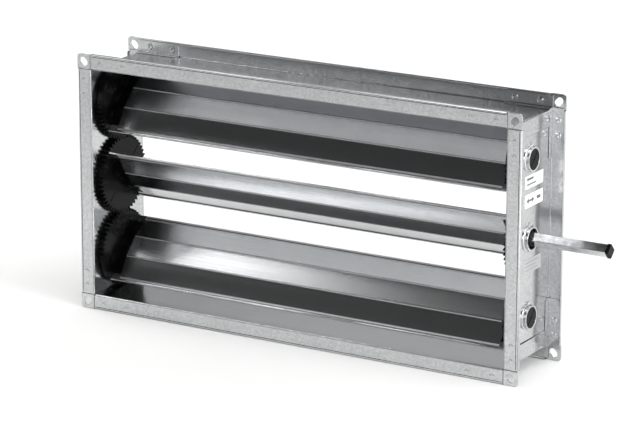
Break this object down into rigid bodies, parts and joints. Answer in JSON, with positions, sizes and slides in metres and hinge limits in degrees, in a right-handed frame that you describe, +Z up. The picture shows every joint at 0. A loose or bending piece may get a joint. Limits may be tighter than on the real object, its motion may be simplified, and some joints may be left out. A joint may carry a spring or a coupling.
{
  "type": "multi-blade shut-off damper",
  "caption": "Rectangular duct shut-off damper: flanged sheet-metal frame, hollow opposed blades geared together at both ends, square drive shaft at one side.",
  "frame": {"origin": "centre of the clear opening, in the plane of the front flange face, which is the centre of the four front bolt slots", "axes": "+X along the blades towards the drive shaft, +Y through the frame from the front flange to the rear flange, +Z up"},
  "size_m": [0.7317, 0.118, 0.34],
  "materials": {
    "frame_sheet": "satin galvanised",
    "bracket_sheet": "satin galvanised",
    "blade_sheet": "satin galvanised, roll formed",
    "collar_steel": "bright zinc plated",
    "shaft_steel": "bright zinc plated, drawn",
    "gear_plastic": "moulded, satin",
    "cap_plastic": "moulded, satin"
  },
  "bodies": {
    "root": {"top_channel": "frame_sheet", "bottom_channel": "frame_sheet", "left_channel": "frame_sheet", "right_channel": "frame_sheet", "front_top_left_bracket": "bracket_sheet", "front_top_right_bracket": "bracket_sheet", "front_bottom_left_bracket": "bracket_sheet", "front_bottom_right_bracket": "bracket_sheet", "rear_top_left_bracket": "bracket_sheet", "rear_top_right_bracket": "bracket_sheet", "rear_bottom_left_bracket": "bracket_sheet", "rear_bottom_right_bracket": "bracket_sheet", "top_left_bearing_collar": "collar_steel", "top_right_bearing_collar": "collar_steel", "middle_left_bearing_collar": "collar_steel", "middle_right_bearing_collar": "collar_steel", "bottom_left_bearing_collar": "collar_steel", "bottom_right_bearing_collar": "collar_steel"},
    "top_blade": {"top_blade_front_skin": "blade_sheet", "top_blade_rear_skin": "blade_sheet", "top_blade_left_gear": "gear_plastic", "top_blade_right_gear": "gear_plastic"},
    "middle_blade": {"middle_blade_front_skin": "blade_sheet", "middle_blade_rear_skin": "blade_sheet", "middle_blade_left_gear": "gear_plastic", "middle_blade_right_gear": "gear_plastic", "drive_shaft": "shaft_steel", "shaft_end_cap": "cap_plastic"},
    "bottom_blade": {"bottom_blade_front_skin": "blade_sheet", "bottom_blade_rear_skin": "blade_sheet", "bottom_blade_left_gear": "gear_plastic", "bottom_blade_right_gear": "gear_plastic"}
  },
  "joints": [
    {"name": "top_blade_turn", "type": "hinge", "parent": "root", "child": "top_blade", "pos_m": [0, 0.061, 0.1], "axis": [1, 0, 0], "range_deg": [-46, 44]},
    {"name": "middle_blade_turn", "type": "hinge", "parent": "root", "child": "middle_blade", "pos_m": [0, 0.061, 0], "axis": [1, 0, 0], "range_deg": [-44, 46]},
    {"name": "bottom_blade_turn", "type": "hinge", "parent": "root", "child": "bottom_blade", "pos_m": [0, 0.061, -0.1], "axis": [1, 0, 0], "range_deg": [-46, 44]}
  ],
  "couplings": [
    {"joint": "top_blade_turn", "follows": "middle_blade_turn", "ratio": -1},
    {"joint": "bottom_blade_turn", "follows": "middle_blade_turn", "ratio": -1}
  ]
}
